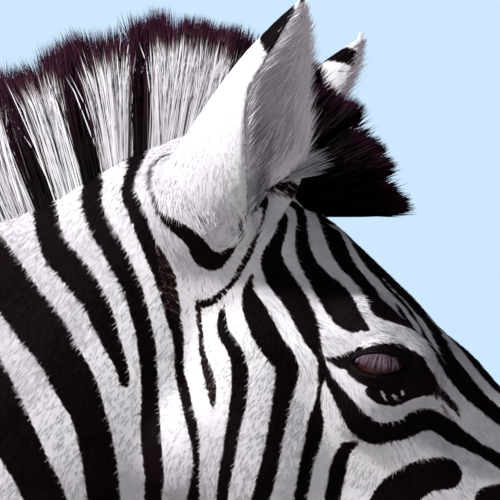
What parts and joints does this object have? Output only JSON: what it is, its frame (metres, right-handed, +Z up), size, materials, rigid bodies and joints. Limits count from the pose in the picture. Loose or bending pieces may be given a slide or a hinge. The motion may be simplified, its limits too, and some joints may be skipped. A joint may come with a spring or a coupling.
{
  "type": "zebra",
  "caption": "Life-size plains zebra standing square with raised neck, upright striped mane, cupped ears, half-closed eyes and a hanging tail.",
  "frame": {"origin": "middle of the floor box, at the height of the soles", "axes": "+X towards the muzzle, +Y towards the animal's left, +Z up"},
  "size_m": [1.946, 0.4866, 1.652],
  "materials": {
    "coat": "short flat hair, white with black stripes",
    "mane": "stiff upright hair, white and black in bands with dark tips",
    "muzzle": "dark skin with very short hair",
    "horn": "dark grey horn, satin, faint rings",
    "eye": "wet dark brown"
  },
  "bodies": {
    "root": {"ear_left": "coat", "ear_right": "coat", "eye_left": "eye", "eye_right": "eye", "fore_left_cannon": "coat", "fore_left_forearm": "coat", "fore_left_hoof": "horn", "fore_left_pastern": "coat", "fore_right_cannon": "coat", "fore_right_forearm": "coat", "fore_right_hoof": "horn", "fore_right_pastern": "coat", "forelock": "mane", "head": "coat", "hind_left_cannon": "coat", "hind_left_gaskin": "coat", "hind_left_hoof": "horn", "hind_left_pastern": "coat", "hind_left_thigh": "coat", "hind_right_cannon": "coat", "hind_right_gaskin": "coat", "hind_right_hoof": "horn", "hind_right_pastern": "coat", "hind_right_thigh": "coat", "mane": "mane", "muzzle": "muzzle", "neck": "coat", "tail_dock": "coat", "tail_tuft": "mane", "trunk": "coat"}
  },
  "joints": []
}
